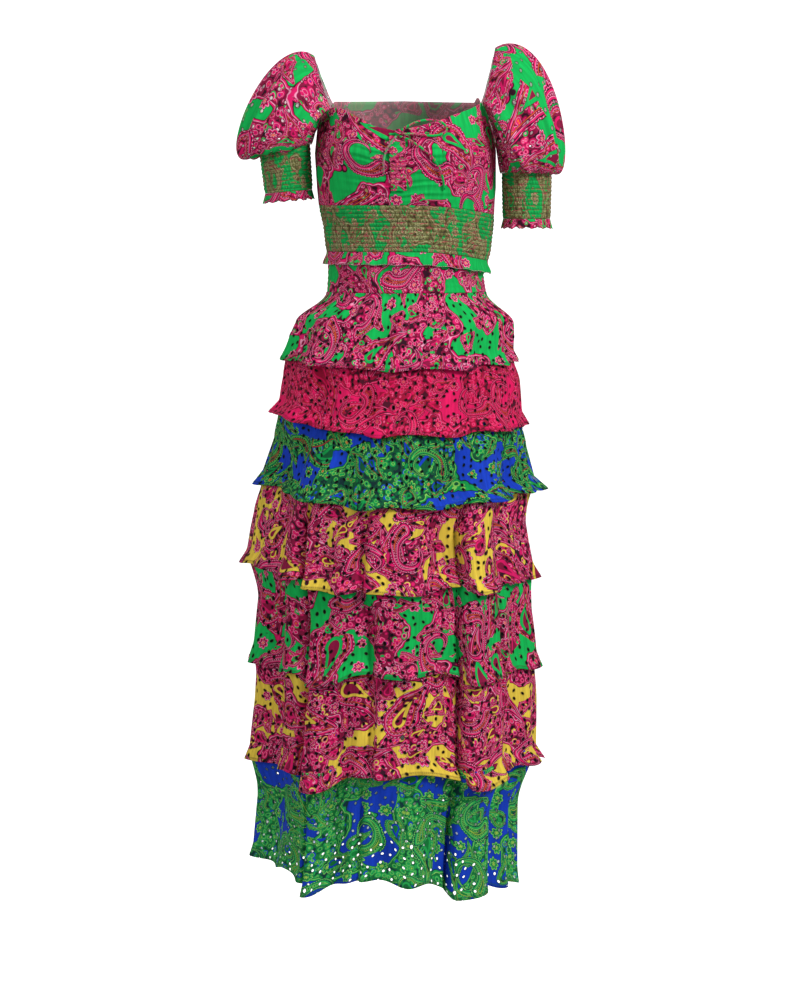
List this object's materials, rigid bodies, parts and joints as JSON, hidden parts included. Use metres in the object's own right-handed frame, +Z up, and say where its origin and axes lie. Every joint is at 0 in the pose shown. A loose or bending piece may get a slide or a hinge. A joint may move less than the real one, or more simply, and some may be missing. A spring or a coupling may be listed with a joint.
{
  "type": "tiered maxi dress",
  "caption": "Tiered maxi dress in paisley-print eyelet cotton, with puff sleeves, smocked cuffs and midriff and gathered ruffle tiers, on a hollow worn form.",
  "frame": {"origin": "midway between the two shoulder edges, where the wearer's shoulders hold the dress up", "axes": "+X to the right of the garment as seen from its front, +Y towards its back, +Z up"},
  "size_m": [0.4871, 0.3956, 1.2556],
  "materials": {
    "green_paisley": "matte printed cotton",
    "pink_paisley": "matte printed cotton",
    "blue_paisley": "matte printed cotton",
    "yellow_paisley": "matte printed cotton",
    "blue_green_paisley": "matte printed cotton",
    "green_smocking": "matte printed cotton",
    "pale_tie": "matte printed cotton"
  },
  "bodies": {
    "root": {"tier_1_front": "green_paisley", "tier_1_back": "green_paisley", "tier_2_front": "pink_paisley", "tier_2_back": "pink_paisley", "tier_3_front": "blue_paisley", "tier_3_back": "blue_paisley", "tier_4_front": "yellow_paisley", "tier_4_back": "yellow_paisley", "tier_5_front": "green_paisley", "tier_5_back": "green_paisley", "tier_6_front": "yellow_paisley", "tier_6_back": "yellow_paisley", "tier_7_front": "blue_green_paisley", "tier_7_back": "blue_green_paisley", "skirt_waistband": "green_paisley", "smocked_midriff": "green_smocking", "top_hem_frill": "green_paisley", "bodice_front": "green_paisley", "bodice_back": "green_paisley", "front_channel": "green_paisley", "sleeve_left_front": "green_paisley", "sleeve_left_back": "green_paisley", "cuff_left": "green_smocking", "cuff_left_frill": "green_paisley", "sleeve_right_front": "green_paisley", "sleeve_right_back": "green_paisley", "cuff_right": "green_smocking", "cuff_right_frill": "green_paisley", "bow_knot": "green_paisley", "bow_loop_right": "green_paisley", "tie_end_right": "green_paisley", "tie_end_left": "pale_tie"}
  },
  "joints": []
}
